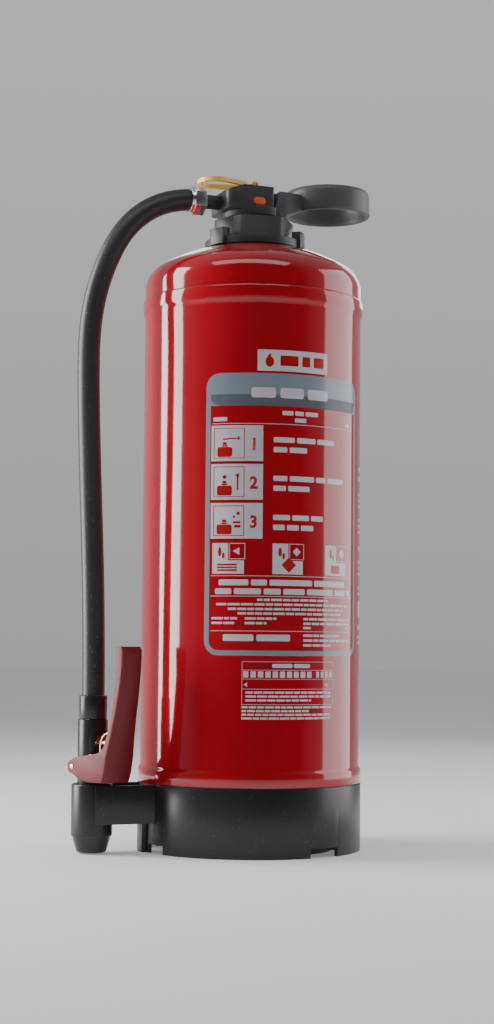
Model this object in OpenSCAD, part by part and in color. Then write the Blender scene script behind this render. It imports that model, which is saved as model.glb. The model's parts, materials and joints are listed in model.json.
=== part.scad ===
// Dry powder fire extinguisher, 12 kg, with an inner gas cartridge, a lift-to-arm ring handle
// and a hose with a squeeze pistol that is stored in a clip on the foot ring.
// Millimetres. Origin: container axis at the floor. +Z up, the label faces -Y, the hose is on -X.

/* [Container] */
// Outer radius of the steel container
body_r = 94.5; // [90:0.5:98]
// Thickness of the container's sheet steel
wall = 1.5; // [1.2:0.1:2]
// How far the two bell joints stand out from the container
bell_out = 1.6; // [1.2:0.1:2]
// Radius of the knuckle of the dished ends
knuckle_r = 22; // [18:1:26]
// Radius of the crown of the dished ends
crown_r = 170; // [150:5:190]
// Height at which the upper dished end starts to curve in
dome_z = 484; // [478:1:490]
// Height at which the lower dished end starts to curve in
base_z = 54; // [50:1:58]
// Height of the top edge of the upper bell joint
bell_top_z = 472.4; // [465:0.1:476]

/* [Foot ring] */
// Height of the plastic foot ring
foot_h = 56.8; // [50:0.1:57]
// Outer radius of the foot ring
foot_r = 96; // [96:0.1:98]
// Height of the notches between the feet
notch_h = 7.5; // [5:0.5:10]

/* [Pistol and hose] */
// Distance from the container axis to the stored pistol's axis
pistol_x = 142; // [140:1:150]
// Turn of the stored pistol about its own axis
pistol_turn = -67.5; // [-75:0.5:-60]
// Outer diameter of the rubber hose
hose_d = 19; // [18:0.5:19.5]
// Radius of the pistol's body
grip_r = 12.5; // [12.5:0.1:12.7]

/* [Handle] */
// Outer radius of the ring handle
ring_r = 38; // [36:0.5:40]
// Inner radius of the ring handle
ring_hole_r = 33; // [31:0.5:34]
// Distance from the container axis to the ring's centre
ring_x = 71.6; // [70:0.1:74]

/* [Hidden] */
$fn = 96;

clear = 0.3;          // gap between pieces that move past each other
run = 0.05;           // radial running clearance of pins and rods

// Dished ends
knuckle_x = body_r - knuckle_r;
crown_drop = sqrt(pow(crown_r - knuckle_r, 2) - pow(knuckle_x, 2));
knuckle_end = atan2(crown_drop, knuckle_x);
crown_z = dome_z - crown_drop;
bell_h = 11;
bell_r = body_r + bell_out;
socket_r = body_r + 0.1;
bell_low_z = base_z + 4;

// Neck and head
neck_hole_r = 25.5;
neck_r = 29.5;
neck_top_z = 534;
gasket_t = 1.2;
nut_flange_r = 43;
nut_flange_z = 520.3;
nut_hex_z = 527;
nut_top_z = 546;
nut_flat = 32;        // centre to flat
nut_corner_r = 35.2;
nut_turn = -7;
head_low_z = nut_top_z + 0.3;
head_skirt_r = 28.5;
head_y = 23;
head_left = -33.5;
head_right = 10;
head_top_z = 571.5;
cover_t = 2.5;
slot_y = 6.5;
relief_x = -5;
relief_z = 564.5;
ear_y = 12.9;

// Handle hinge
pin_x = 17.5;
pin_z = 551.5;
pin_r = 2;
cheek_y = 21;
ring_low_z = 557.5;
ring_top_z = 579.5;
nose_z = 562;

// Piercing mechanism, cartridge and tubes
pierce_x = 7;
cart_r = 18;
cart_low_z = 130;
cart_neck_z = 527;
dip_x = -18.2;
dip_r = 6.9;
gas_x = -3.5;
gas_y = 21.5;
gas_r = 2.5;

// Outlet and hose
outlet_z = 560.5;
stub_r = 6.3;
stub_end = -48;
hose_nut_end = -61.5;
hose_r = hose_d / 2;
ferrule_low_z = 111.3;
ferrule_top_z = 131;

// Pistol, in its own frame: x towards the lever, y across
pivot_x = -8.8;
pivot_z = 72;
lever_pin_r = 2;
spool_z = 92;
spool_r = 6.2;
spool_shift = 6.2;
spool_tip = 34;
fork_in = 13;
fork_out = 15.2;
lever_wall = 2.2;
nozzle_r = 17.2;
nozzle_top_z = 58;
clip_in = 17.6;
clip_out = 20.6;

// The lever's return spring, a bow of wire inside the lever on the near side
bow_x = 32.2;
bow_z = 90;
bow_y = 9.6;
bow_r = 11;
bow_low_z = 82;
wire_r = 0.55;

// Route of the hose in the plane y = 0, from the outlet to the pistol
hose_route = [
    [-61.7, 560.5], [-65, 560.1], [-72, 558.9], [-84, 555.4], [-95.5, 549.9], [-106.2, 542.4],
    [-115.8, 533.1], [-124, 522.1], [-132.8, 505.6], [-140, 487], [-145.3, 468],
    [-148.6, 448.5], [-150.1, 428], [-150.3, 405], [-149.7, 375], [-148.4, 338],
    [-146.8, 300], [-145.1, 262], [-143.6, 222], [-142.6, 182], [-142.1, 152], [-142, 131.3]
];

// The lever's rounded back, level by level: height, distance from the pistol axis, half width
lever_levels = [
    [54, 31, 15.2], [60, 33, 15.2], [68, 36, 15.2], [81.5, 38.5, 15.2], [97, 41.6, 13.4],
    [112.8, 44.8, 12.2], [133, 48.8, 11.4], [144, 50.4, 11], [158, 51.9, 10.8], [176, 52.4, 10.6]
];
lever_arch = 5;
lever_top_z = 172;
lever_rim = [
    [39.8, 172], [41.2, 149], [39.2, 133.6], [36.3, 112.8], [34.2, 102.3], [30, 88.8],
    [23.9, 84.1], [-6, 79.5]
];

function arc(cx, cz, r, a0, a1, n) =
    [for (i = [0:n]) let (a = a0 + (a1 - a0) * i / n) [cx + r * cos(a), cz + r * sin(a)]];

// Points of a dished end of radius offset "inset" inwards, from the skirt to the radius hole_r
function dished(inset, hole_r) = concat(
    arc(knuckle_x, 0, knuckle_r - inset, 0, knuckle_end, 12),
    arc(0, -crown_drop, crown_r - inset, knuckle_end, acos(hole_r / (crown_r - inset)), 16)
);

function reversed(points) = [for (i = [len(points) - 1:-1:0]) points[i]];

module tube(ro, ri, z0, z1) {
    rotate_extrude() translate([ri, z0]) square([ro - ri, z1 - z0]);
}

// A skirt of height skirt_h below the dished end; hole_r is the hole in its middle
module dished_shell(skirt_h, hole_r) {
    rotate_extrude() polygon(concat(
        [[body_r, -skirt_h]], dished(0, hole_r),
        reversed(dished(wall, hole_r)), [[body_r - wall, -skirt_h]]
    ));
}

// A curved foil on the container: centre angle and half angle from -Y, and height limits
module foil(mid, half, z0, z1, corner, inner, thick) {
    intersection() {
        tube(inner + thick, inner, z0, z1);
        rotate([0, 0, mid]) rotate([90, 0, 0]) linear_extrude(height = 150)
            hull() for (s = [-1, 1], z = [z0 + corner, z1 - corner])
                translate([s * (body_r * sin(half) - corner), z]) circle(r = corner, $fn = 32);
    }
}

module container_body() {
    color([0.78, 0.08, 0.1]) rotate_extrude() polygon([
        [body_r, bell_low_z + bell_h + 3], [body_r, bell_top_z - bell_h - 3],
        [bell_r, bell_top_z - bell_h], [bell_r, bell_top_z], [socket_r, bell_top_z],
        [socket_r, bell_top_z - bell_h + 0.4], [body_r - wall, bell_top_z - bell_h - 2.6],
        [body_r - wall, bell_low_z + bell_h + 2.6], [socket_r, bell_low_z + bell_h - 0.4],
        [socket_r, bell_low_z], [bell_r, bell_low_z], [bell_r, bell_low_z + bell_h]
    ]);
}

module container_dome() {
    color([0.78, 0.08, 0.1]) translate([0, 0, dome_z])
        dished_shell(dome_z - bell_top_z + bell_h - 1, neck_r);
}

module container_base() {
    color([0.78, 0.08, 0.1]) translate([0, 0, base_z]) mirror([0, 0, 1])
        dished_shell(bell_low_z + bell_h - 1 - base_z, 0.01);
}

module upper_weld() {
    color([0.72, 0.07, 0.09]) rotate_extrude()
        polygon([[body_r, bell_top_z], [bell_r, bell_top_z], [body_r, bell_top_z + 1.4]]);
}

module lower_weld() {
    color([0.72, 0.07, 0.09]) rotate_extrude()
        polygon([[body_r, bell_low_z], [bell_r, bell_low_z], [body_r, bell_low_z - 1]]);
}

module neck_boss() {
    color([0.72, 0.07, 0.09]) tube(neck_r, neck_hole_r, crown_z + crown_r - 8, neck_top_z);
}

module clip() {
    for (side = [0, 1]) mirror([0, side, 0]) translate([0, 0, 25])
        linear_extrude(height = foot_h - 25) polygon(concat(
            [[-93.3, clip_in]], arc(-pistol_x, 0, clip_in, 90, 100, 3),
            arc(-pistol_x, 0, clip_out, 100, 90, 3), [[-93.3, clip_out]]
        ));
    translate([-99, -clip_out, 25]) cube([4, 2 * clip_out, 5]);
    translate([-99.5, -6, 0]) cube([5, 12, 30]);
}

module foot_ring() {
    rib_count = 12;
    color([0.06, 0.06, 0.07]) difference() {
        union() {
            tube(foot_r, socket_r, 41, foot_h);
            tube(foot_r, 92.5, 0, 41);
            tube(72, 69, 0, 26.6);
            for (i = [0:rib_count - 1]) rotate([0, 0, 15 + i * 360 / rib_count])
                translate([71, -1.25, 2]) cube([22, 2.5, 24]);
            clip();
        }
        for (a = [-71.5, 71.5]) rotate([0, 0, a]) translate([80, -15, -1])
            cube([20, 30, notch_h + 1]);
        for (a = [-167, 167]) rotate([0, 0, a]) translate([80, -11, -1])
            cube([20, 22, notch_h + 1]);
    }
}

module front_label() {
    color([0.7, 0.1, 0.12]) foil(0, 46.5, 165.4, 398.7, 12, body_r + 0.05, 0.2);
}

module badge_label() {
    color([0.9, 0.88, 0.86]) foil(0, 19, 400.2, 418.7, 0.6, body_r + 0.05, 0.2);
}

module inspection_label() {
    color([0.9, 0.88, 0.86]) foil(-1.7, 24.5, 113, 160.6, 1.5, body_r + 0.05, 0.2);
}

module side_label() {
    color([0.9, 0.88, 0.86]) foil(75, 24, 180, 330, 4, body_r + 0.05, 0.2);
}

module powder_charge() {
    fill_z = 452;
    gap = 1;
    color([0.85, 0.8, 0.55]) difference() {
        union() {
            translate([0, 0, base_z]) cylinder(r = body_r - wall - gap, h = fill_z - base_z);
            translate([0, 0, base_z]) mirror([0, 0, 1]) rotate_extrude() polygon(concat(
                [[0, -1]], [[body_r - wall - gap, -1]], dished(wall + gap, 0.01)));
        }
        translate([pierce_x, 0, cart_low_z - 2]) cylinder(r = cart_r + gap, h = 400);
        translate([dip_x, 0, 20]) cylinder(r = dip_r + gap, h = 500);
        translate([gas_x, gas_y, 30]) cylinder(r = gas_r + gap, h = 500);
    }
}

module co2_cartridge() {
    shoulder_z = 496;
    color([0.55, 0.56, 0.58]) translate([pierce_x, 0, 0]) rotate_extrude() polygon(concat(
        [[0, cart_low_z]],
        arc(cart_r - 8, cart_low_z + 8, 8, -90, 0, 6),
        arc(cart_r - 10, shoulder_z, 10, 0, 80, 8),
        [[8, shoulder_z + 10], [8, cart_neck_z], [0, cart_neck_z]]
    ));
}

module dip_tube() {
    color([0.85, 0.85, 0.82]) translate([dip_x, 0, 0]) tube(dip_r, 5.5, 26, 547.5);
}

module gas_tube() {
    color([0.8, 0.8, 0.78]) translate([gas_x, gas_y, 0]) tube(gas_r, 1.6, 40, 541.5);
}

module neck_gasket() {
    color([0.1, 0.1, 0.1]) tube(neck_r, neck_hole_r + 0.5, neck_top_z, neck_top_z + gasket_t);
}

module collar_nut() {
    lug_r = 45.5;
    lug_w = 17;
    color([0.07, 0.07, 0.08]) difference() {
        union() {
            translate([0, 0, nut_flange_z]) cylinder(r = nut_flange_r, h = nut_hex_z - nut_flange_z);
            intersection() {
                rotate([0, 0, nut_turn]) translate([0, 0, nut_flange_z])
                    cylinder(r = nut_flat / cos(30), h = nut_top_z - nut_flange_z, $fn = 6);
                translate([0, 0, nut_flange_z])
                    cylinder(r = nut_corner_r, h = nut_top_z - nut_flange_z);
            }
            intersection() {
                for (i = [0:2]) rotate([0, 0, -158.5 + 120 * i])
                    translate([37, -lug_w / 2, nut_flange_z]) cube([12, lug_w, 14]);
                tube(lug_r, 36, nut_flange_z - 1, nut_flange_z + 15);
            }
        }
        translate([0, 0, 500]) cylinder(r = neck_r + 0.1, h = 40.2);
        translate([0, 0, 500]) cylinder(r = neck_hole_r + 0.1, h = 60);
        translate([0, 0, crown_z]) sphere(r = crown_r + 0.3, $fn = 200);
    }
}

// Outline of the head block seen from the front
module head_outline() {
    polygon([
        [head_left, head_low_z + 6], [head_right, head_low_z + 6],
        [head_right, head_top_z + cover_t], [-18.3, head_top_z + cover_t],
        [head_left, head_top_z - 2.8]
    ]);
}

module head_block(z0, z1) {
    intersection() {
        rotate([90, 0, 0]) translate([0, 0, -head_y]) linear_extrude(height = 2 * head_y)
            head_outline();
        translate([0, 0, z0]) linear_extrude(height = z1 - z0)
            hull() for (x = [head_left + 7, head_right - 2], s = [-1, 1])
                translate([x, s * (head_y - (x < 0 ? 7 : 2))])
                    circle(r = x < 0 ? 7 : 2, $fn = 48);
    }
}

module head_body() {
    color([0.08, 0.08, 0.09]) difference() {
        union() {
            head_block(head_low_z, head_top_z);
            translate([0, 0, head_low_z]) cylinder(r1 = head_skirt_r - 1.5, r2 = head_skirt_r, h = 1.5);
            translate([0, 0, head_low_z + 1.5]) cylinder(r = head_skirt_r, h = 7);
            translate([0, 0, head_low_z + 8.5]) cylinder(r1 = head_skirt_r, r2 = 20, h = 5);
            translate([0, 0, 522]) cylinder(r = neck_hole_r - 0.1, h = head_low_z - 520);
            translate([0, 0, neck_top_z + gasket_t]) cylinder(r = neck_r - 0.1, h = 4.9);
            translate([0, -ear_y, head_low_z]) cube([24, 2 * ear_y, 14]);
            translate([0, -ear_y, head_low_z]) cube([19.5, 2 * ear_y, 24.7]);
        }
        // slot for the handle's nose and the recesses beside the ears for its cheeks
        translate([-10.5, -slot_y, nose_z - 4.6]) cube([45, 2 * slot_y, 22.1]);
        translate([12.5, -slot_y, head_low_z - 0.1]) cube([20, 2 * slot_y, 30]);
        for (s = [-1, 1]) translate([head_right, s > 0 ? ear_y : -ear_y - 20, head_low_z - 0.1])
            cube([30, 20, 40]);
        translate([24, -40, head_low_z - 1]) cube([20, 80, 40]);
        // hinge pin
        translate([pin_x, 0, pin_z]) rotate([90, 0, 0])
            cylinder(r = pin_r, h = 60, center = true);
        // piercing pin, its spring and the cartridge's neck
        translate([pierce_x, 0, 515]) cylinder(r = 2.5 + run, h = 60);
        translate([pierce_x, 0, 547.5]) cylinder(r = 5.2, h = 30);
        translate([pierce_x, 0, 515]) cylinder(r = 8.05, h = cart_neck_z + 4 - 515);
        // dip tube socket, riser and outlet
        translate([dip_x, 0, 515]) cylinder(r = dip_r + 0.02, h = 547.6 - 515);
        translate([dip_x, 0, 540]) cylinder(r = 5, h = outlet_z - 540);
        translate([dip_x, 0, outlet_z]) sphere(r = 5);
        translate([head_left - 1, 0, outlet_z]) rotate([0, 90, 0])
            cylinder(r = 5, h = dip_x - head_left + 1);
        // gas tube socket and its passage from the piercing chamber
        translate([gas_x, gas_y, 515]) cylinder(r = gas_r + 0.02, h = 541.6 - 515);
        // seats of the plug, the relief valve and the cover screws
        translate([-4, -head_y - 1, 560.5]) rotate([-90, 0, 0]) plug_shape(0.05, 4);
        translate([relief_x, head_y + 1, relief_z]) rotate([90, 0, 0]) cylinder(r = 4.05, h = 10);
        for (x = [-12, 2], s = [-1, 1]) translate([x, s * 15, 562])
            cylinder(r = 1.5, h = 20);
    }
}

module plug_shape(grow, h) {
    hull() for (s = [-1, 1]) translate([s * 2.15, 0, 0])
        cylinder(r = 3.45 + grow, h = h, $fn = 48);
}

module head_cover() {
    color([0.09, 0.09, 0.1]) difference() {
        head_block(head_top_z, head_top_z + cover_t);
        translate([-9.6, -3, head_top_z - 1]) cube([5.6, 6, 5]);
        for (x = [-12, 2], s = [-1, 1]) translate([x, s * 15, head_top_z - 1]) {
            cylinder(r = 1.6, h = 10);
            translate([0, 0, 2]) cylinder(r = 2.9, h = 10);
        }
    }
}

module cover_screws() {
    color([0.7, 0.7, 0.72]) for (x = [-12, 2], s = [-1, 1]) translate([x, s * 15, 0])
        difference() {
            union() {
                translate([0, 0, 564]) cylinder(r = 1.45, h = head_top_z + 1.1 - 564);
                translate([0, 0, head_top_z + 1]) cylinder(r = 2.8, h = 1.4);
            }
            translate([0, 0, head_top_z + 1.6]) cylinder(r = 1.3, h = 5, $fn = 6);
        }
}

module inspection_plug() {
    color([0.93, 0.4, 0.2]) translate([-4, -head_y - 0.4, 560.5]) rotate([-90, 0, 0])
        plug_shape(0, 3.3);
}

module relief_valve() {
    color([0.75, 0.6, 0.3]) translate([relief_x, head_y, relief_z]) rotate([-90, 0, 0]) difference() {
        union() {
            translate([0, 0, -8.5]) cylinder(r = 4, h = 9);
            cylinder(r = 6, h = 4, $fn = 6);
            translate([0, 0, 4]) cylinder(r = 4.2, h = 4.5);
        }
        translate([0, 0, 3]) cylinder(r = 1.5, h = 10);
    }
}

module outlet_stub() {
    color([0.08, 0.08, 0.09]) translate([stub_end, 0, outlet_z]) rotate([0, 90, 0]) difference() {
        cylinder(r = stub_r, h = head_left - stub_end);
        translate([0, 0, -1]) cylinder(r = 4.6, h = 40);
    }
}

module hose_nipple() {
    color([0.75, 0.75, 0.75]) translate([-78, 0, outlet_z]) rotate([0, 90, 0]) difference() {
        cylinder(r = 6.2, h = stub_end + 78);
        translate([0, 0, -1]) cylinder(r = 4.6, h = 60);
    }
}

module hose_nut() {
    color([0.8, 0.8, 0.82]) translate([hose_nut_end, 0, outlet_z]) rotate([0, 90, 0])
        difference() {
            union() {
                translate([0, 0, 3]) cylinder(r = 12.6, h = stub_end - hose_nut_end - 3.2, $fn = 6);
                cylinder(r = 10.9, h = 3.5);
            }
            translate([0, 0, -1]) cylinder(r = 6.25, h = 40);
        }
}

// A round bar along a path in the plane y = 0; first and last are the directions at its ends
module swept(path, r, sides, first, last) {
    n = len(path);
    function heading(i) = i == 0 ? first : i == n - 1 ? last :
        (path[i + 1] - path[i - 1]) / norm(path[i + 1] - path[i - 1]);
    points = [for (i = [0:n - 1]) let (d = heading(i), c = path[i])
        for (k = [0:sides - 1]) let (a = 360 * k / sides)
            [c[0] - d[1] * r * cos(a), r * sin(a), c[1] + d[0] * r * cos(a)]];
    faces = concat(
        [[for (k = [0:sides - 1]) k]],
        [[for (k = [sides - 1:-1:0]) (n - 1) * sides + k]],
        [for (i = [0:n - 2], k = [0:sides - 1]) let (m = (k + 1) % sides)
            [i * sides + k, (i + 1) * sides + k, (i + 1) * sides + m, i * sides + m]]
    );
    polyhedron(points = points, faces = faces, convexity = 6);
}

module hose() {
    color([0.07, 0.07, 0.07]) swept(hose_route, hose_r, 12, [-1, 0], [0, -1]);
}

module handle_pin() {
    color([0.8, 0.8, 0.8]) translate([pin_x, 0, pin_z]) rotate([90, 0, 0])
        cylinder(r = pin_r, h = 2 * cheek_y + 0.6, center = true);
}

module piercing_spring() {
    coil_r = 3.9;
    wire_r = 0.5;
    turns = 5;
    low = 548.1;
    high = 557.9;
    color([0.7, 0.7, 0.7]) translate([pierce_x, 0, 0]) for (i = [0:turns])
        translate([0, 0, low + (high - low) * i / turns]) rotate_extrude()
            translate([coil_r, 0]) circle(r = wire_r, $fn = 16);
}

module piercing_pin() {
    color([0.75, 0.75, 0.75]) translate([pierce_x, 0, 0]) {
        translate([0, 0, 533]) cylinder(r = 2.5, h = 25.5);
        translate([0, 0, 530.2]) cylinder(r1 = 0.3, r2 = 2.5, h = 2.8);
        translate([0, 0, 558.4]) cylinder(r = 4.4, h = 1.2);
        translate([0, 0, 559.6]) cylinder(r1 = 4.4, r2 = 2.4, h = 2);
    }
}

module handle_cheek_outline() {
    translate([pin_x, pin_z]) circle(r = 4.6, $fn = 48);
    polygon([
        [13.2, pin_z], [11.7, 556.5], [15.9, 571.3], [37, 571.3], [40, ring_low_z], [22, pin_z]
    ]);
}

module carry_handle() {
    color([0.12, 0.12, 0.13]) difference() {
        union() {
            translate([ring_x, 0, 0]) rotate_extrude() hull() {
                translate([ring_hole_r + 2, ring_low_z + 2]) circle(r = 2, $fn = 32);
                translate([ring_r - 2, ring_low_z + 2]) circle(r = 2, $fn = 32);
                translate([ring_hole_r + 2, ring_top_z - 2]) circle(r = 2, $fn = 32);
                translate([ring_r - 5, ring_top_z - 5]) circle(r = 5, $fn = 32);
            }
            intersection() {
                translate([0, cheek_y, 0]) rotate([90, 0, 0]) linear_extrude(height = 2 * cheek_y)
                    handle_cheek_outline();
                translate([0, 0, 540]) linear_extrude(height = 40) polygon([
                    [5, -cheek_y], [24, -cheek_y], [42, -16], [42, 16], [24, cheek_y], [5, cheek_y]
                ]);
            }
            // nose that presses the piercing pin
            translate([2.9, -5.6, nose_z]) cube([24, 11.2, 8.6]);
            translate([pin_x, 5.6, pin_z]) rotate([90, 0, 0]) cylinder(r = 4.6, h = 11.2);
            translate([14.2, -5.6, pin_z]) cube([7, 11.2, 12]);
        }
        translate([ring_x, 0, 540]) cylinder(r = ring_hole_r, h = 60);
        translate([5, -5.7, 551.6]) cube([9, 11.4, nose_z - 551.6]);
        for (s = [-1, 1]) translate([0, s > 0 ? 5.6 : -ear_y - clear, 540])
            cube([26.5, ear_y + clear - 5.6, 60]);
        translate([pin_x, 0, pin_z]) rotate([90, 0, 0])
            cylinder(r = pin_r + run, h = 60, center = true);
        // rounds the nose's end so that it swings clear of the cover
        translate([0, -6, 569.9]) rotate([0, 9, 0]) cube([14, 12, 6]);
    }
}

module strap_outline(grow) {
    hull() {
        translate([-36.5, 0]) circle(r = 16 + grow, $fn = 64);
        translate([-15.5, 0]) circle(r = 10 + grow, $fn = 64);
    }
}

module safety_strap() {
    low = 576.4;
    high = 580.4;
    color([0.98, 0.78, 0.3]) {
        translate([0, 0, low]) linear_extrude(height = high - low) difference() {
            strap_outline(0);
            strap_outline(-3.6);
        }
        translate([-8, -2.2, low]) cube([7, 4.4, high - low]);
        translate([0, 2.6, low + 2.9]) rotate([90, 0, 0]) difference() {
            cylinder(r = 3.6, h = 5.2);
            translate([1.2, 0.8, -1]) cylinder(r = 1, h = 10);
        }
        translate([-9, -2.2, 563]) cube([4.4, 4.4, low + 1 - 563]);
        translate([-9, -6, 574.3]) cube([4.4, 12, 1.4]);
    }
}

module at_pistol() {
    translate([-pistol_x, 0, 0]) rotate([0, 0, pistol_turn]) children();
}

module pistol_body() {
    color([0.07, 0.07, 0.08]) at_pistol() difference() {
        union() {
            translate([0, 0, nozzle_top_z]) cylinder(r = grip_r, h = ferrule_low_z - 0.3 - nozzle_top_z);
            translate([0, 0, 46]) cylinder(r = 9, h = 13);
        }
        translate([0, 0, 40]) cylinder(r = 5, h = 46);
        translate([-2.9, -4.5, 80]) cube([5.8, 9, 20]);
        translate([0, 0, 98.5]) cylinder(r = 5.5, h = 40);
        translate([0, 0, 102]) cylinder(r = 7, h = 40);
        translate([-20, 0, spool_z]) rotate([0, 90, 0]) cylinder(r = spool_r + run, h = 40);
        translate([pivot_x, 0, pivot_z]) rotate([90, 0, 0])
            cylinder(r = lever_pin_r, h = 60, center = true);
        translate([5, -bow_y, bow_low_z]) rotate([0, 90, 0]) cylinder(r = wire_r + 0.02, h = 10);
    }
}

module nozzle() {
    color([0.07, 0.07, 0.08]) at_pistol() rotate_extrude() polygon(concat(
        [[9.05, nozzle_top_z - 0.1], [nozzle_r - 1, nozzle_top_z - 0.1]],
        [[nozzle_r, nozzle_top_z - 1.1], [nozzle_r, 15.5], [nozzle_r - 1.4, 13.5]],
        [[12.6, 2.2], [11.6, 1.2], [8.6, 1.2], [6.1, 30], [6.1, 45.9], [9.05, 45.9]]
    ));
}

module nozzle_insert() {
    color([0.75, 0.75, 0.75]) at_pistol() tube(6.05, 4.2, 31, 45.9);
}

module hose_ferrule() {
    color([0.1, 0.1, 0.11]) at_pistol()
        tube(hose_r + 2.2, 6.6, ferrule_low_z, ferrule_top_z);
}

module pistol_barb() {
    color([0.75, 0.75, 0.75]) at_pistol() {
        tube(6.5, 4.8, 103, ferrule_top_z);
        tube(7, 4.8, 102.1, ferrule_low_z - 0.4);
    }
}

module lever_pin() {
    color([0.8, 0.8, 0.8]) at_pistol() translate([pivot_x, 0, pivot_z]) rotate([90, 0, 0])
        cylinder(r = lever_pin_r, h = 2 * fork_out + 0.6, center = true);
}

module lever_spring() {
    bend = 2.5;
    stem_x = bow_x - bow_r;
    color([0.8, 0.8, 0.8]) at_pistol() translate([0, -bow_y, 0]) swept(concat(
        [[5.5, bow_low_z]],
        arc(stem_x - bend, bow_low_z + bend, bend, -90, 0, 5),
        arc(bow_x, bow_z, bow_r, 180, 95, 12)
    ), wire_r, 10, [1, 0], [sin(95), -cos(95)]);
}

module lever_side() {
    union() {
        polygon(concat(
            [[12, 60], [60, 60], [60, 163.5], [54.5, 163.5], [46, lever_top_z]], lever_rim,
            [[pivot_x, pivot_z + 5.6], [pivot_x, pivot_z - 5.6], [0, 62]]
        ));
        translate([pivot_x, pivot_z]) circle(r = 5.6, $fn = 48);
    }
}

// One level of the lever's section, closed at the back by half an ellipse
function lever_ring(level, inset, n) = let (x = level[1] - lever_arch, w = level[2] - inset)
    concat([[-30, w, level[0]], [-30, -w, level[0]]],
        [for (i = [0:n]) let (a = -90 + 180 * i / n)
            [x + (lever_arch - inset) * cos(a), w * sin(a), level[0]]]);

module lever_solid(inset) {
    n = 20;
    m = n + 3;
    last = len(lever_levels) - 1;
    points = [for (level = lever_levels) each lever_ring(level, inset, n)];
    faces = concat(
        [[for (k = [m - 1:-1:0]) k]],
        [[for (k = [0:m - 1]) last * m + k]],
        [for (i = [0:last - 1], k = [0:m - 1]) let (j = (k + 1) % m)
            [i * m + k, i * m + j, (i + 1) * m + j]],
        [for (i = [0:last - 1], k = [0:m - 1]) let (j = (k + 1) % m)
            [i * m + k, (i + 1) * m + j, (i + 1) * m + k]]
    );
    polyhedron(points = points, faces = [for (f = faces) reversed(f)], convexity = 6);
}

module lever() {
    color([0.72, 0.06, 0.08]) at_pistol() difference() {
        intersection() {
            lever_solid(0);
            rotate([90, 0, 0]) translate([0, 0, -20]) linear_extrude(height = 40) lever_side();
        }
        intersection() {
            lever_solid(lever_wall);
            rotate([90, 0, 0]) translate([0, 0, -20]) linear_extrude(height = 40)
                polygon([[-40, 50], [60, 50], [60, 160.5], [53, 160.5], [44.5, 169], [-40, 169]]);
        }
        translate([pivot_x, 0, pivot_z]) rotate([90, 0, 0])
            cylinder(r = lever_pin_r + run, h = 60, center = true);
    }
}

module valve_spool() {
    color([0.8, 0.75, 0.5]) at_pistol() translate([0, 0, spool_z]) difference() {
        union() {
            translate([-6.5, 0, 0]) rotate([0, 90, 0]) cylinder(r = spool_r, h = 18);
            rotate([0, 90, 0]) cylinder(r = 3, h = spool_tip);
            translate([spool_tip, 0, 0]) sphere(r = 3, $fn = 48);
        }
        translate([spool_shift - 2.9, -4, -10]) cube([5.8, 8, 20]);
        for (x = [-5.2, 10.2]) translate([x, 0, 0]) rotate([0, 90, 0])
            difference() {
                cylinder(r = 8, h = 1.2, center = true);
                cylinder(r = spool_r - 0.9, h = 2, center = true);
            }
    }
}

module spool_seals() {
    color([0.1, 0.1, 0.1]) at_pistol() translate([0, 0, spool_z])
        for (x = [-5.2, 10.2]) translate([x, 0, 0]) rotate([0, 90, 0]) difference() {
            cylinder(r = spool_r, h = 1.1, center = true);
            cylinder(r = spool_r - 0.9, h = 2, center = true);
        }
}

container_body();
container_dome();
container_base();
upper_weld();
lower_weld();
neck_boss();
foot_ring();
front_label();
badge_label();
inspection_label();
side_label();
powder_charge();
co2_cartridge();
dip_tube();
gas_tube();
neck_gasket();
collar_nut();
head_body();
head_cover();
cover_screws();
inspection_plug();
relief_valve();
outlet_stub();
hose_nipple();
hose_nut();
hose();
handle_pin();
piercing_spring();
piercing_pin();
carry_handle();
safety_strap();
pistol_body();
nozzle();
nozzle_insert();
hose_ferrule();
pistol_barb();
lever_pin();
lever_spring();
lever();
valve_spool();
spool_seals();
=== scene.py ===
import json
import random
from math import acos, atan2, cos, pi, radians, sin, sqrt

import bmesh
import bpy
from mathutils import Matrix, Vector, noise

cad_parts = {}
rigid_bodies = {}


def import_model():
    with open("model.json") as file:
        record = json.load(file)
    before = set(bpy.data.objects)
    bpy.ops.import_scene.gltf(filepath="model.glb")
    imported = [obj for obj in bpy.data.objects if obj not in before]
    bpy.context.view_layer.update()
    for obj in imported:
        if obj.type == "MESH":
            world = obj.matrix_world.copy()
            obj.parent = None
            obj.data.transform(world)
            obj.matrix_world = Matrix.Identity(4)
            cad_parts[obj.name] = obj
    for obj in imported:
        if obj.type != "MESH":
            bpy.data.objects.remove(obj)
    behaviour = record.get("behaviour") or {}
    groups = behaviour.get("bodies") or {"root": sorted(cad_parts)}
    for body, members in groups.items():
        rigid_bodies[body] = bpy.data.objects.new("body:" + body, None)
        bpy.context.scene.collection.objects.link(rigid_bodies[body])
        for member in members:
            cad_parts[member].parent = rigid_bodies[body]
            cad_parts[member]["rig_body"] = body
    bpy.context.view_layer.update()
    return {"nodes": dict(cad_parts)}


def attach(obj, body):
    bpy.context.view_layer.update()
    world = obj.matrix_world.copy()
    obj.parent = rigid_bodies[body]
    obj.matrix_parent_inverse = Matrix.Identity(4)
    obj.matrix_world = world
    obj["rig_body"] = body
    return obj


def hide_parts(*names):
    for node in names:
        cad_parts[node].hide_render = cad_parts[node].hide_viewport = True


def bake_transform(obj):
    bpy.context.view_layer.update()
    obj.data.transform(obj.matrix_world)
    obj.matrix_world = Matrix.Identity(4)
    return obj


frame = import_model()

# ---------------------------------------------------------------- camera
# A long lens on a low tripod, 22.5 degrees to the hose's side of the label's middle and tipped
# up a little, at about the height of a knee.
camera_turn = radians(-22.5)
camera_tilt = radians(4.17)
camera_roll = radians(0.5)
camera_place = (-0.6254, -1.5000, 0.1716)
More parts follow.
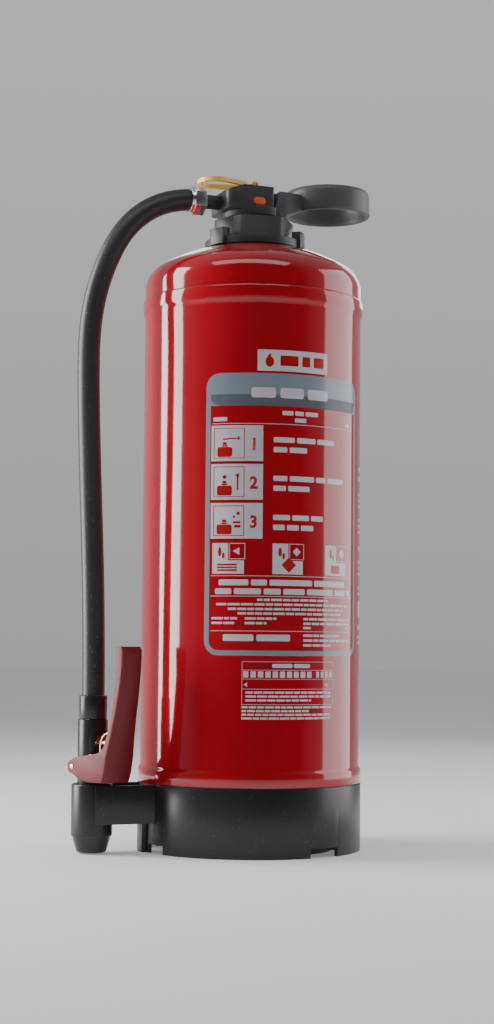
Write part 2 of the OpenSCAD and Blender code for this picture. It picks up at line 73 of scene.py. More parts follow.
sensor_tall, focal_length = 36.0, 65.6
lens = bpy.data.cameras.new("camera")
lens.sensor_fit = "VERTICAL"
lens.sensor_height = sensor_tall
lens.lens = focal_length
camera = bpy.data.objects.new("camera", lens)
bpy.context.scene.collection.objects.link(camera)
camera.matrix_world = (
    Matrix.Translation(camera_place)
    @ Matrix.Rotation(camera_turn, 4, "Z")
    @ Matrix.Rotation(pi / 2 + camera_tilt, 4, "X")
    @ Matrix.Rotation(camera_roll, 4, "Z")
)
bpy.context.scene.camera = camera

# ---------------------------------------------------------------- hose
# Black rubber discharge hose, 19 mm across, extruded over a textile braid. It is clamped on a
# nipple at the head, bends over in an arch and runs straight down into the pistol's ferrule.
MM = 0.001
hose_across = 19 * MM
coat_rough = 0.04
grain_depth = 0.0004
dust_colour = (0.45, 0.43, 0.41, 1)
hose_route = [
    (-61.7, 560.5), (-65, 560.1), (-72, 558.9), (-84, 555.4), (-95.5, 549.9), (-106.2, 542.4),
    (-115.8, 533.1), (-124, 522.1), (-132.8, 505.6), (-140, 487), (-145.3, 468),
    (-148.6, 448.5), (-150.1, 428), (-150.3, 405), (-149.7, 375), (-148.4, 338),
    (-146.8, 300), (-145.1, 262), (-143.6, 222), (-142.6, 182), (-142.1, 152), (-142, 131.3),
]


def add_object(name, mesh, body="container", nodes=()):
    """A finished piece: it rides on its body and stands for its CAD nodes."""
    piece = bpy.data.objects.new(name, mesh)
    bpy.context.scene.collection.objects.link(piece)
    if body:
        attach(piece, body)
    if nodes:
        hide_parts(*nodes)
    return piece


def smooth_faces(mesh, sharp_over=40):
    """Smooth shading that stops at edges sharper than so many degrees."""
    mesh.shade_smooth()
    mesh.set_sharp_from_angle(angle=radians(sharp_over))


def finish(name, colour, rough, metallic=0.0, coat=0.0, mottle=0.12, patch=60.0, grain=1500.0,
           bump=0.03, rough_swing=0.1, dust=0.0, stretch=(1, 1, 1)):
    """A moulded, painted or metal surface: broad mottling, fine grain in relief and dust."""
    material = bpy.data.materials.new(name)
    material.use_nodes = True
    nodes, links = material.node_tree.nodes, material.node_tree.links
    shader = nodes["Principled BSDF"]
    shader.inputs["Metallic"].default_value = metallic
    shader.inputs["Coat Weight"].default_value = coat
    shader.inputs["Coat Roughness"].default_value = coat_rough
    where = nodes.new("ShaderNodeTexCoord")
    place = nodes.new("ShaderNodeMapping")
    place.inputs["Scale"].default_value = stretch
    links.new(where.outputs["Object"], place.inputs["Vector"])

    def noise_at(scale, detail):
        texture = nodes.new("ShaderNodeTexNoise")
        texture.inputs["Scale"].default_value = scale
        texture.inputs["Detail"].default_value = detail
        links.new(place.outputs["Vector"], texture.inputs["Vector"])
        return texture.outputs["Fac"]

    broad, fine = noise_at(patch, 4), noise_at(grain, 2)
    shade = nodes.new("ShaderNodeValToRGB")
    shade.color_ramp.elements[0].position = 0.3
    shade.color_ramp.elements[1].position = 0.7
    shade.color_ramp.elements[0].color = [c * (1 - mottle) for c in colour] + [1]
    shade.color_ramp.elements[1].color = [min(1, c * (1 + mottle)) for c in colour] + [1]
    links.new(broad, shade.inputs["Fac"])
    top = shade.outputs["Color"]
    if dust:
        specks = nodes.new("ShaderNodeValToRGB")
        specks.color_ramp.elements[0].position = 0.70
        specks.color_ramp.elements[1].position = 0.76
        links.new(noise_at(grain * 0.45, 1), specks.inputs["Fac"])
        amount = nodes.new("ShaderNodeMath")
        amount.operation = "MULTIPLY"
        amount.inputs[1].default_value = dust
        links.new(specks.outputs["Color"], amount.inputs[0])
        mix = nodes.new("ShaderNodeMix")
        mix.data_type = "RGBA"
        links.new(amount.outputs[0], mix.inputs["Factor"])
        links.new(top, mix.inputs[6])
        mix.inputs[7].default_value = dust_colour
        top = mix.outputs[2]
    links.new(top, shader.inputs["Base Color"])
    gloss = nodes.new("ShaderNodeMapRange")
    gloss.inputs["To Min"].default_value = max(0.02, rough - rough_swing / 2)
    gloss.inputs["To Max"].default_value = rough + rough_swing / 2
    links.new(broad, gloss.inputs["Value"])
    links.new(gloss.outputs["Result"], shader.inputs["Roughness"])
    relief = nodes.new("ShaderNodeBump")
    relief.inputs["Strength"].default_value = bump
    relief.inputs["Distance"].default_value = grain_depth
    links.new(fine, relief.inputs["Height"])
    links.new(relief.outputs["Normal"], shader.inputs["Normal"])
    return material


rubber = finish("hose_rubber", (0.030, 0.030, 0.033), 0.40, mottle=0.18, patch=25, grain=2200,
                bump=0.10, rough_swing=0.12, dust=0.30, stretch=(1, 1, 0.25))
spline_data = bpy.data.curves.new("hose_line", "CURVE")
spline_data.dimensions = "3D"
spline_data.bevel_depth = hose_across / 2
spline_data.bevel_resolution = 12
spline_data.resolution_u = 10
spline_data.use_fill_caps = True
line = spline_data.splines.new("BEZIER")
line.bezier_points.add(len(hose_route) - 1)
for point, (x, z) in zip(line.bezier_points, hose_route):
    point.co = (x * MM, 0, z * MM)
    point.handle_left_type = point.handle_right_type = "AUTO"
former = bpy.data.objects.new("hose_former", spline_data)
bpy.context.scene.collection.objects.link(former)
hose_mesh = bpy.data.meshes.new_from_object(
    former.evaluated_get(bpy.context.evaluated_depsgraph_get()))
bpy.data.objects.remove(former)
smooth_faces(hose_mesh, 60)
hose_mesh.materials.clear()
hose_mesh.materials.append(rubber)
hose = add_object("discharge_hose", hose_mesh, body=None, nodes=["hose"])
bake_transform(hose)

# ---------------------------------------------------------------- floor and light
# A pale matt studio floor that gives off a little even light of its own. A tall bright box light
# stands on the left, a wide weaker one on the right and a soft one overhead. The drum shows
# their upright reflections with a darker middle between them.
floor_r = 14.0
floor_glow = 0.40


def mesh_of(name, bm):
    """Turns a finished bmesh into a mesh."""
    mesh = bpy.data.meshes.new(name)
    bm.to_mesh(mesh)
    bm.free()
    return mesh


pale = finish("studio_floor", (0.72, 0.72, 0.73), 0.9, mottle=0.02, patch=2, grain=200,
              bump=0.01, rough_swing=0.04)
bm = bmesh.new()
bmesh.ops.create_circle(bm, cap_ends=True, segments=96, radius=floor_r)
floor_mesh = mesh_of("studio_floor", bm)
glow = pale.node_tree.nodes["Principled BSDF"]
glow.inputs["Emission Color"].default_value = (0.5, 0.5, 0.51, 1)
glow.inputs["Emission Strength"].default_value = floor_glow
floor_mesh.materials.append(pale)
floor = bpy.data.objects.new("studio_floor", floor_mesh)
bpy.context.scene.collection.objects.link(floor)

toward_camera = Vector((sin(camera_turn), -cos(camera_turn), 0))


def box_light(name, turn, away, height, size, power, aim_z=0.3):
    """A rectangular soft light, turned so many degrees to the camera's right of the lens."""
    data = bpy.data.lights.new(name, "AREA")
    data.shape = "RECTANGLE"
    data.size, data.size_y = size
    data.energy = power
    lamp = bpy.data.objects.new(name, data)
    bpy.context.scene.collection.objects.link(lamp)
    spot = Matrix.Rotation(radians(turn), 3, "Z") @ toward_camera * away + Vector((0, 0, height))
    lamp.location = spot
    lamp.rotation_euler = (Vector((0, 0, aim_z)) - spot).to_track_quat("-Z", "Y").to_euler()


box_light("left_strip", -92, 1.20, 0.42, (0.66, 1.7), 42)
box_light("right_panel", 103, 1.30, 0.45, (1.15, 1.7), 15)
box_light("overhead", -4, 0.85, 1.75, (1.9, 0.5), 7.5, 0.50)
box_light("back_rim", 168, 1.60, 1.10, (1.2, 0.7), 5)

# The air lights the drum most from the lens's side. What is seen behind it is a plain grey that
# grows lighter upward.
world = bpy.data.worlds.new("studio_air")
world.use_nodes = True
bpy.context.scene.world = world
nodes, links = world.node_tree.nodes, world.node_tree.links
air = nodes["Background"]
seen = nodes.new("ShaderNodeBackground")
where = nodes.new("ShaderNodeTexCoord")
facing = nodes.new("ShaderNodeVectorMath")
facing.operation = "DOT_PRODUCT"
facing.inputs[1].default_value = toward_camera
links.new(where.outputs["Generated"], facing.inputs[0])
fade = nodes.new("ShaderNodeValToRGB")
fade.color_ramp.elements[0].position = 0.0
fade.color_ramp.elements[0].color = (0.34, 0.34, 0.36, 1)
fade.color_ramp.elements[1].position = 0.60
fade.color_ramp.elements[1].color = (0.035, 0.035, 0.04, 1)
links.new(facing.outputs["Value"], fade.inputs["Fac"])
links.new(fade.outputs["Color"], air.inputs["Color"])
rise = nodes.new("ShaderNodeSeparateXYZ")
links.new(where.outputs["Generated"], rise.inputs["Vector"])
haze = nodes.new("ShaderNodeValToRGB")
haze.color_ramp.elements[0].position = 0.0
haze.color_ramp.elements[0].color = (0.40, 0.40, 0.41, 1)
haze.color_ramp.elements[1].position = 0.35
haze.color_ramp.elements[1].color = (0.56, 0.56, 0.57, 1)
links.new(rise.outputs["Z"], haze.inputs["Fac"])
links.new(haze.outputs["Color"], seen.inputs["Color"])
ray = nodes.new("ShaderNodeLightPath")
either = nodes.new("ShaderNodeMixShader")
links.new(ray.outputs["Is Camera Ray"], either.inputs["Fac"])
links.new(air.outputs[0], either.inputs[1])
links.new(seen.outputs[0], either.inputs[2])
links.new(either.outputs[0], nodes["World Output"].inputs["Surface"])

# ---------------------------------------------------------------- container
# A rolled steel body that is widened into a bell at each end. The two dished ends are pushed
# into the bells and welded round, then everything is powder coated in one gloss red.
wall = 1.5
body_r = 94.5
inner_r = body_r - wall
bell_r = 96.1
bell_bore = 94.6
upper_seam, lower_seam = 472.4, 58.0
dome_z, base_z = 484.0, 54.0
neck_r, pole_r = 29.5, 0.02
weld_ripples = 170
knuckle_r, crown_r = 22.0, 170.0
drop = sqrt((crown_r - knuckle_r) ** 2 - (body_r - knuckle_r) ** 2)
knuckle_end = atan2(drop, body_r - knuckle_r)


def turned(name, profile, round_by=0.0, steps=192, corners=None, jitter=None):
    """A mesh turned about an upright axis from a closed outline of (radius, height) in mm."""
    bm = bmesh.new()
    outline = [bm.verts.new((r, 0, z)) for r, z in profile]
    bm.faces.new(outline)
    if round_by:
        picked = [outline[i] for i in corners] if corners is not None else outline
        bmesh.ops.bevel(bm, geom=picked, offset=round_by, offset_type="OFFSET", segments=3,
                        profile=0.5, affect="VERTICES", clamp_overlap=True, material=-1)
    bmesh.ops.delete(bm, geom=list(bm.faces), context="FACES_ONLY")
    bmesh.ops.spin(bm, geom=bm.verts[:] + bm.edges[:], cent=(0, 0, 0), axis=(0, 0, 1),
                   angle=2 * pi, steps=steps, use_merge=True)
    bmesh.ops.remove_doubles(bm, verts=bm.verts, dist=1e-4)
    bmesh.ops.dissolve_degenerate(bm, edges=bm.edges, dist=1e-5)
    if jitter:
        for v in bm.verts:
            v.co = jitter(v.co)
    bmesh.ops.recalc_face_normals(bm, faces=bm.faces)
    bmesh.ops.scale(bm, vec=(MM, MM, MM), verts=bm.verts)
    mesh = mesh_of(name, bm)
    smooth_faces(mesh)
    return mesh


def dished(inset, hole_r):
    """Half of a dished end's outline, from the skirt up over the knuckle and the crown."""
    side = [(body_r - knuckle_r + (knuckle_r - inset) * cos(a), (knuckle_r - inset) * sin(a))
            for a in [knuckle_end * i / 14 for i in range(15)]]
    stop = acos(hole_r / (crown_r - inset))
    top = [((crown_r - inset) * cos(a), (crown_r - inset) * sin(a) - drop)
           for a in [knuckle_end + (stop - knuckle_end) * i / 18 for i in range(1, 19)]]
    return side + top


def rough_weld(co):
    """The lower shoulder of the upper bell isn't even: the roller left it slightly ragged."""
    r = sqrt(co.x ** 2 + co.y ** 2)
    if 456 < co.z < 462.5 and r > 94.3:
        wave = noise.noise(Vector((co.x * 0.16, co.y * 0.16, 3))) + 0.6 * noise.noise(
            Vector((co.x * 0.5, co.y * 0.5, 7)))
        co.z += 0.9 * wave
        k = (r + 0.10 * wave) / r
        co.x *= k
        co.y *= k
    return co


red_paint = finish("red_powder_coat", (0.40, 0.007, 0.015), 0.10, coat=0.6, mottle=0.05,
                   patch=12, grain=900, bump=0.012, rough_swing=0.05)
body_outline = [
    (body_r, 72), (body_r, 180), (body_r, 300), (body_r, 420), (body_r, 457.2), (94.7, 459),
    (95.7, 461), (bell_r, 462.6), (bell_r, upper_seam), (bell_bore, upper_seam),
    (bell_bore, 461.8), (inner_r, 458.8), (inner_r, 71.6), (bell_bore, 68.6),
    (bell_bore, lower_seam), (bell_r, lower_seam), (bell_r, 68), (95.7, 69.6), (94.7, 70.9),
]
body_mesh = turned("shell_body", body_outline, 0.35, 240, [8, 9, 14, 15], jitter=rough_weld)
top_outline = [(body_r, 462.4)] + [(r, z + dome_z) for r, z in dished(0, neck_r)] + [
    (r, z + dome_z) for r, z in reversed(dished(wall, neck_r))] + [(inner_r, 462.4)]
low_outline = [(body_r, 68)] + [(r, base_z - z) for r, z in dished(0, pole_r)] + [
    (r, base_z - z) for r, z in reversed(dished(wall, pole_r))] + [(inner_r, 68)]


def bead(z, up, height):
    """The weld run: a low bead with the ripple of the electrode."""
    def ripple(co):
        a = atan2(co.y, co.x)
        wander = noise.noise(Vector((co.x * 0.2, co.y * 0.2, z)))
        co.z += 0.12 * sin(a * weld_ripples) + 0.35 * wander
        return co
    outline = [(94.4, z - up * 0.3), (95.9, z - up * 0.3), (95.7, z + up * height * 0.45),
               (95.1, z + up * height * 0.85), (94.4, z + up * height)]
    return turned("weld", outline, 0, 480, jitter=ripple)


for name, mesh, nodes in (
    ("shell_body", body_mesh, ["container_body"]),
    ("shell_top_end", turned("shell_top_end", top_outline, 0, 240), ["container_dome"]),
    ("shell_low_end", turned("shell_low_end", low_outline, 0, 192), ["container_base"]),
    ("weld_upper", bead(upper_seam, 1, 1.3), ["upper_weld"]),
    ("weld_lower", bead(lower_seam, -1, 0.9), ["lower_weld"]),
):
    mesh.materials.append(red_paint)
    add_object(name, mesh, nodes=nodes)


def paint(material, *names):
    """Gives its material to each CAD node that is shown as it is."""
    for name in names:
        frame["nodes"][name].material_slots[0].material = material


paint(red_paint, "neck_boss")

# ---------------------------------------------------------------- prints
# Screen prints in blue grey and off-white straight on the paint: an operating label with a frame,
# a band and three steps, a badge, an inspection table and a column at the side. Text is bars.
ink_thick = 0.05
ink_facet = 2.5
first_coat, second_coat, third_coat = 0.05, 0.115, 0.18
shortest_word, word_gap, word_corner = 2.2, 0.45, 0.22
numeral_size, numeral_weight = 1.42, 0.055
dice = random.Random(12)


def sheet_of(shapes):
    """A flat bmesh in mm, x along the drum and z up, filled by the drawing calls in shapes."""
    bm = bmesh.new()
    for draw, *values in shapes:
        draw(bm, *values)
    return bm


def bar(bm, x0, z0, x1, z1, corner=0.0):
    """A filled rectangle, with round corners where asked."""
    made = bmesh.ops.create_grid(bm, x_segments=1, y_segments=1, size=0.5)["verts"]
    bmesh.ops.rotate(bm, cent=(0, 0, 0), matrix=Matrix.Rotation(pi / 2, 3, "X"), verts=made)
    bmesh.ops.scale(bm, vec=(x1 - x0, 1, z1 - z0), verts=made)
    bmesh.ops.translate(bm, vec=((x0 + x1) / 2, 0, (z0 + z1) / 2), verts=made)
    if corner:
        bmesh.ops.bevel(bm, geom=made, offset=corner, offset_type="OFFSET", segments=6,
                        profile=0.5, affect="VERTICES", clamp_overlap=False, material=-1)


def outline(bm, x0, z0, x1, z1, thick, corner=0.0):
    """A rectangular frame, made of one outline with its middle inset and taken out."""
    before = set(bm.faces)
    bar(bm, x0, z0, x1, z1, corner)
    new = [f for f in bm.faces if f not in before]
    bmesh.ops.inset_region(bm, faces=new, thickness=thick, use_boundary=True,
                            use_even_offset=True)
    bmesh.ops.delete(bm, geom=new, context="FACES")


def disc(bm, x, z, r, n=20, turn=0.0, flat=1.0):
    """A dot, a triangle or a lozenge."""
    made = bmesh.ops.create_circle(bm, cap_ends=True, segments=n, radius=r)["verts"]
    bmesh.ops.rotate(bm, cent=(0, 0, 0), matrix=Matrix.Rotation(turn, 3, "Z"), verts=made)
    bmesh.ops.scale(bm, vec=(1, flat, 1), verts=made)
    bmesh.ops.rotate(bm, cent=(0, 0, 0), matrix=Matrix.Rotation(pi / 2, 3, "X"), verts=made)
    bmesh.ops.translate(bm, vec=(x, 0, z), verts=made)


def words(bm, x0, x1, z, tall, longest=11.0):
    """A line of greeked words between x0 and x1."""
    x = x0
    while x < x1 - tall:
        step = min(x1 - x, tall * dice.uniform(shortest_word, longest / 2))
        bar(bm, x, z - tall / 2, x + step, z + tall / 2, tall * word_corner)
        x += step + tall * word_gap


def numeral(bm, text, x, z, tall):
    """A step number."""
    font = bpy.data.curves.new("numeral", "FONT")
    font.body = text
    font.size = tall * numeral_size
    font.align_x = "CENTER"
    font.offset = tall * numeral_weight
    carrier = bpy.data.objects.new("numeral", font)
    bpy.context.scene.collection.objects.link(carrier)
    flat = bpy.data.meshes.new_from_object(
        carrier.evaluated_get(bpy.context.evaluated_depsgraph_get()))
    bpy.data.objects.remove(carrier)
    known = set(bm.verts)
    bm.from_mesh(flat)
    made = [v for v in bm.verts if v not in known]
    bmesh.ops.rotate(bm, cent=(0, 0, 0), matrix=Matrix.Rotation(pi / 2, 3, "X"), verts=made)
    bmesh.ops.translate(bm, vec=(x, 0, z - tall / 2), verts=made)


def printed(name, shapes, level, ink, nodes=()):
    """Lays a flat sheet of shapes round the drum, level mm above the paint, as a thin solid."""
    bm = sheet_of(shapes)
    bmesh.ops.remove_doubles(bm, verts=bm.verts, dist=1e-4)
    low = min(v.co.x for v in bm.verts)
    high = max(v.co.x for v in bm.verts)
    x = low + ink_facet
    while x < high:
        bmesh.ops.bisect_plane(bm, geom=bm.verts[:] + bm.edges[:] + bm.faces[:], dist=1e-5,
                               plane_co=(x, 0, 0), plane_no=(1, 0, 0))
        x += ink_facet
    bmesh.ops.triangulate(bm, faces=bm.faces)
    for f in bm.faces:
        if f.normal.y > 0:
            f.normal_flip()
    bmesh.ops.solidify(bm, geom=bm.faces[:], thickness=ink_thick)
    front = min(v.co.y for v in bm.verts)
    back = max(v.co.y for v in bm.verts)
    for v in bm.verts:
        r = body_r + level + (ink_thick if v.co.y < (front + back) / 2 else 0.0)
        a = v.co.x / body_r
        v.co = (r * sin(a), -r * cos(a), v.co.z)
    bmesh.ops.recalc_face_normals(bm, faces=bm.faces)
    bmesh.ops.scale(bm, vec=(MM, MM, MM), verts=bm.verts)
    mesh = mesh_of(name, bm)
    mesh.materials.append(ink)
    add_object(name, mesh, nodes=nodes)


grey_ink = finish("blue_grey_ink", (0.23, 0.27, 0.31), 0.22, coat=0.3, mottle=0.04, patch=30,
                  grain=1800, bump=0.015)
pale_ink = finish("off_white_ink", (0.60, 0.57, 0.61), 0.24, coat=0.3, mottle=0.05, patch=30,
                  grain=1800, bump=0.015)
red_ink = finish("red_ink", (0.42, 0.010, 0.014), 0.24, coat=0.3, mottle=0.05, patch=30,
                 grain=1800, bump=0.015)

label_x, label_low, label_high = 76.5, 165.4, 398.7
grey = [(outline, -label_x, label_low, label_x, label_high, 4.2, 12.0),
        (bar, -label_x + 4.0, 371.4, label_x - 4.0, label_high - 4.0, 8.1),
        (bar, -label_x + 4.0, 371.4, label_x - 4.0, 381.0)]
printed("label_frame", grey, first_coat, grey_ink, ["front_label"])

steps_z = [(325.4, 355.0), (293.4, 323.0), (261.3, 290.7)]
light = [(words, -38, 38, 382.5, 8.5, 5.2), (words, -12, 24, 365.9, 3.6),
         (words, -1, 13, 360.2, 3.4), (words, -70, -58, 360.2, 3.4), (words, 56, 62, 360.2, 3.4),
         (bar, -71, 356.3, 68, 356.8)]
line_ends = [(45, 15), (52, 14), (27, 17)]
dark = []
for i, ((z0, z1), (long_one, short_one)) in enumerate(zip(steps_z, line_ends)):
    light += [(bar, -71.5, z0, -28, z1), (words, -19.3, long_one, z1 - 11.6, 4.4),
              (words, -19.3, short_one, z1 - 19.8, 4.4)]
    dark += [(outline, -69.3, z0 + 2.2, -43.3, z1 - 2.2, 0.55),
             (numeral, str(i + 1), -35.6, (z0 + z1) / 2 - 0.6, 9.6),
             (bar, -66.3, z0 + 3.4, -53.5, z0 + 11.6, 1.8),
             (bar, -62.3, z0 + 12.0, -57.5, z0 + 13.2), (bar, -61.6, z0 + 13.5, -58.2, z0 + 15.6)]
    middle = z0 + 20.2
    if i == 0:
        dark += [(bar, -61.5, middle - 2.6, -56.8, middle - 1.4, 0.4),
                 (bar, -57.3, middle - 2.0, -49.8, middle - 0.9, 0.4),
                 (disc, -48.4, middle - 1.4, 2.0, 3, 0)]
    elif i == 1:
        dark += [(bar, -49.6, z0 + 8, -48.2, middle - 1.0), (disc, -48.9, middle, 2.4, 3, pi / 2),
                 (disc, -59.9, middle - 1.4, 1.7)]
    else:
        dark += [(bar, -51.6, z0 + 9, -46, z0 + 11.2, 0.8),
                 (bar, -52.6, z0 + 12.6, -46, z0 + 14.2, 0.6),
                 (disc, -48.2, middle + 0.6, 1.5), (disc, -51.6, middle - 2.2, 1.1)]
classes = [-69.7, -19.5, 30.0]
for i, x in enumerate(classes):
    light += [(bar, x, 232.4, x + 26.6, 243.4), (bar, x, 243.4, x + 13.5, 257.6),
              (outline, x + 14.4, 244.4, x + 27.6, 257.6, 0.5)]
    light += [(disc, x + 21, 251, 3.6, (3, 4, 24)[i], pi / 2)]
    dark += [(disc, x + 6.4, 250.5, 1.5, 12, 0, 2.6), (disc, x + 9.4, 247.4, 1.1, 12, 0, 2.4)]
    if i == 0:
        dark += [(bar, x + 4, 234.6 + k * 2.3, x + 21, 236.0 + k * 2.3, 0.6) for k in range(3)]
    elif i == 1:
        dark += [(disc, x + 14, 240.0, 6.4, 4, 0)]
    else:
        dark += [(bar, x + 7, 234.2, x + 18, 241.0, 1.0)]
light += [(bar, -71, 230.5, 67, 231.0), (words, -64, 62, 225.3, 4.8, 16.0),
          (words, -67, 64, 218.0, 4.8, 16.0), (bar, -71, 213.8, 67, 214.3)]
light += [(words, x0, x1, z, 1.9) for x0, x1, z in (
    (-32, 34, 211.2), (-66, 62, 207.4), (-56, 55, 203.6), (-48, 50, 199.9), (-70, -47, 195.8),
    (-42, -16, 195.8), (8, 64, 195.8), (-70, -48, 192.0), (-42, -24, 192.0), (8, 64, 192.0),
    (8, 15, 188.5), (57, 66, 188.5))]
light += [(bar, -71, 185.3, 67, 185.8), (words, -60, -4, 180.0, 5.4, 14.0)]
light += [(words, 8, x, z, 2.0) for x, z in ((50, 182.2), (63, 178.2), (38, 174.2))]
printed("label_light", light, second_coat, pale_ink)
printed("label_dark", dark, third_coat, red_ink)

printed("badge_light", [(bar, -33.2, 400.6, 31.2, 418.3, 0.6)], first_coat, pale_ink,
        ["badge_label"])
badge = [(disc, -23, 408.4, 3.6, 24, 0, 1.25), (disc, -23, 413.2, 2.0, 3, pi / 2, 1.4)]
badge += [(bar, -14, 405.2, 2, 413.8, 1.2), (bar, 5.5, 405.2, 13, 413.8, 1.2),
          (bar, 16.5, 405.2, 27, 413.8, 1.2)]
printed("badge_dark", badge, second_coat, red_ink)

table = [(outline, -44, 125.4, 40, 160.7, 0.35), (bar, -44, 153.5, 40, 153.85),
         (bar, -44, 146.2, 40, 146.55), (bar, -44, 138.0, 40, 138.35),
         (words, -19, 16, 157.2, 3.2), (disc, -40.6, 141.8, 2.0, 3, pi / 2),
         (disc, 32, 141.8, 2.0, 3, pi / 2)]
for k in range(10):
    table += [(bar, -43 + 6.1 * k, 147.6, -38.6 + 6.1 * k, 152.6, 0.4)]
for k in range(4):
    table += [(bar, 21 + 4.8 * k, 147.6, 24 + 4.8 * k, 152.6, 0.4)]
table += [(words, x0, x1, z, 1.7) for x0, x1, z in (
    (-41, 37, 135.4), (-41, 37, 132.2), (-41, 16, 129.0), (-44, 38, 123.4), (-44, 14, 120.3),
    (-44, 38, 117.3), (-44, 37, 114.3))]
printed("inspection_print", table, first_coat, pale_ink, ["inspection_label"])

side = [(words, 88, x, z, tall) for x, z, tall in (
    (128, 326, 4.2), (118, 318, 4.2), (124, 304, 2.6), (130, 299, 2.6), (121, 294, 2.6),
    (127, 282, 2.6), (130, 277, 2.6), (116, 272, 2.6), (128, 258, 4.2), (125, 246, 2.6),
    (130, 241, 2.6), (119, 236, 2.6), (126, 224, 2.6), (112, 219, 2.6), (122, 190, 4.2),
    (129, 182, 2.6), (117, 177, 2.6))]
side += [(bar, 88, 199, 104, 213, 2.0), (bar, 108, 199, 124, 213, 2.0)]
printed("side_print", side, first_coat, pale_ink, ["side_label"])

# ---------------------------------------------------------------- foot ring
# One black polypropylene moulding pressed over the bottom end. It has four low feet, an inner
# ring with ribs, and two arms that grip the stored pistol's nozzle.
join_within, collapse_under = 3e-6, 2e-6
flat_under = 0.8


def softened(name, node, width, finish_material, over=28, segments=2, sharp=45):
    """A moulding with its edges rounded off: the node's shape, joined up, cleaned and bevelled."""
    source = frame["nodes"][node]
    bm = bmesh.new()
    bm.from_mesh(source.data)
    bmesh.ops.remove_doubles(bm, verts=bm.verts, dist=join_within)
    bmesh.ops.dissolve_degenerate(bm, edges=bm.edges, dist=collapse_under)
    bmesh.ops.dissolve_limit(bm, angle_limit=radians(flat_under), verts=bm.verts, edges=bm.edges,
                             use_dissolve_boundaries=False)
    edges = [e for e in bm.edges if len(e.link_faces) == 2
             and e.calc_face_angle(0) > radians(over)]
    bmesh.ops.bevel(bm, geom=edges, offset=width * MM, offset_type="OFFSET", segments=segments,
                    profile=0.5, affect="EDGES", clamp_overlap=True, material=-1)
    bmesh.ops.triangulate(bm, faces=[f for f in bm.faces if len(f.verts) > 4])
    mesh = mesh_of(name, bm)
    smooth_faces(mesh, sharp)
    mesh.materials.append(finish_material)
    add_object(name, mesh, source["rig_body"], [node])


black = finish("black_polypropylene", (0.018, 0.018, 0.020), 0.30, mottle=0.15, patch=18,
               grain=1600, bump=0.05, rough_swing=0.10, dust=0.18)
softened("foot_moulding", "foot_ring", 0.6, black)

# ---------------------------------------------------------------- collar nut
# A glass-filled black nylon union nut with a flange, a hexagon for the spanner and three lugs.
# It screws over the steel neck and clamps the head down on a flat gasket.
nylon = finish("black_nylon", (0.045, 0.046, 0.049), 0.40, mottle=0.15, patch=30, grain=1400,
               bump=0.08, rough_swing=0.12, dust=0.15)
softened("union_nut", "collar_nut", 0.5, nylon)
gasket = finish("gasket_rubber", (0.015, 0.015, 0.016), 0.6, patch=80, grain=2000, bump=0.08)
paint(gasket, "neck_gasket")

# ---------------------------------------------------------------- head
# The head is a nylon block over a round skirt, with a screwed-on lid. It carries the orange
# inspection plug in front and a brass relief valve at the back.
softened("head_block", "head_body", 0.5, nylon)
softened("head_lid", "head_cover", 0.5, nylon)
zinc = finish("zinc_plated_steel", (0.55, 0.55, 0.57), 0.28, metallic=1.0, mottle=0.08,
              patch=200, grain=3000, bump=0.04, rough_swing=0.14)
softened("lid_screws", "cover_screws", 0.15, zinc)
orange = finish("orange_plug", (0.83, 0.125, 0.030), 0.34, mottle=0.06, patch=150, grain=2600,
                bump=0.05)
softened("sight_plug", "inspection_plug", 0.9, orange, segments=4)
brass = finish("turned_brass", (0.62, 0.42, 0.16), 0.26, metallic=1.0, mottle=0.10, patch=150,
               grain=2600, bump=0.04, rough_swing=0.12, stretch=(1, 1, 6))
softened("relief_cap", "relief_valve", 0.25, brass)

# ---------------------------------------------------------------- outlet
# A nylon stub with a nickel-plated brass nut that draws the hose's nipple onto it.
softened("outlet_tube", "outlet_stub", 0.2, nylon)
plated = finish("bright_nickel", (0.82, 0.82, 0.84), 0.24, metallic=1.0, mottle=0.05, patch=120,
                grain=1800, bump=0.02, rough_swing=0.06)
softened("hose_union", "hose_nut", 0.5, plated, over=20)
paint(plated, "hose_nipple", "pistol_barb")

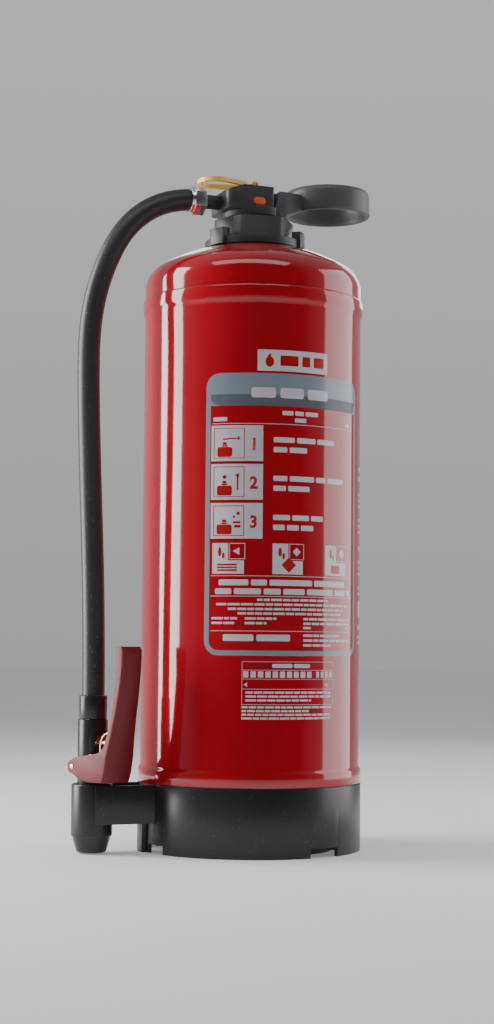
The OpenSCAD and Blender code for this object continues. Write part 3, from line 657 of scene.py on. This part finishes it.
# ---------------------------------------------------------------- ring handle
# A thick dark grey nylon ring on two cheeks. It swings up about a steel pin through the head's
# ears, and the nose between the cheeks presses the piercing pin down against its spring.
dark_grey = finish("dark_grey_nylon", (0.085, 0.088, 0.093), 0.44, mottle=0.12, patch=25,
                   grain=1300, bump=0.10, rough_swing=0.10, dust=0.12)
softened("ring_grip", "carry_handle", 0.6, dark_grey)
paint(zinc, "handle_pin", "piercing_pin", "piercing_spring")

# ---------------------------------------------------------------- safety strap
# A soft yellow polypropylene pull: a flat loop for a finger with a round eye at its other end
# and a tongue that is pushed through the lid.
yellow = finish("yellow_polypropylene", (0.96, 0.60, 0.14), 0.36, coat=0.15, mottle=0.06,
                patch=70, grain=1800, bump=0.05)
softened("pull_strap", "safety_strap", 1.15, yellow, segments=4, sharp=60)

# ---------------------------------------------------------------- pistol
# The squeeze pistol hangs nose down: a black nylon body between the crimped hose ferrule and
# a wide nozzle, with a lined bore.
softened("pistol_grip", "pistol_body", 0.4, black)
softened("pistol_nozzle", "nozzle", 0.5, black, over=20)
softened("crimped_ferrule", "hose_ferrule", 0.5, black)
paint(zinc, "nozzle_insert")

# ---------------------------------------------------------------- lever
# A red nylon channel that closes round the pistol. It turns on a steel pin, a bow of spring
# wire holds it open, and it pushes a brass spool with two seals across the bore.
# The lever's red is darker than the nylon's own: its base colour carries painted shade for the
# shadow the hose casts on it.
red_nylon_painted_shade = finish("red_nylon_painted_shade", (0.17, 0.007, 0.012), 0.55, mottle=0.08, patch=40,
                   grain=1400, bump=0.06)
softened("squeeze_lever", "lever", 0.45, red_nylon_painted_shade)
softened("lever_pivot", "lever_pin", 0.2, zinc)
paint(zinc, "lever_spring")
paint(brass, "valve_spool")
paint(gasket, "spool_seals")

# ---------------------------------------------------------------- filling
# Inside stand the powder, the steel gas cartridge, and the drawn aluminium riser and gas tubes.
powder = finish("extinguishing_powder", (0.80, 0.72, 0.42), 0.95, mottle=0.10, patch=80,
                grain=2500, bump=0.5)
cartridge = finish("cartridge_steel", (0.42, 0.43, 0.45), 0.35, metallic=1.0, patch=40)
drawn = finish("drawn_aluminium", (0.70, 0.70, 0.72), 0.30, metallic=1.0, patch=60,
               stretch=(1, 1, 0.05))
paint(powder, "powder_charge")
paint(cartridge, "co2_cartridge")
paint(drawn, "dip_tube", "gas_tube")
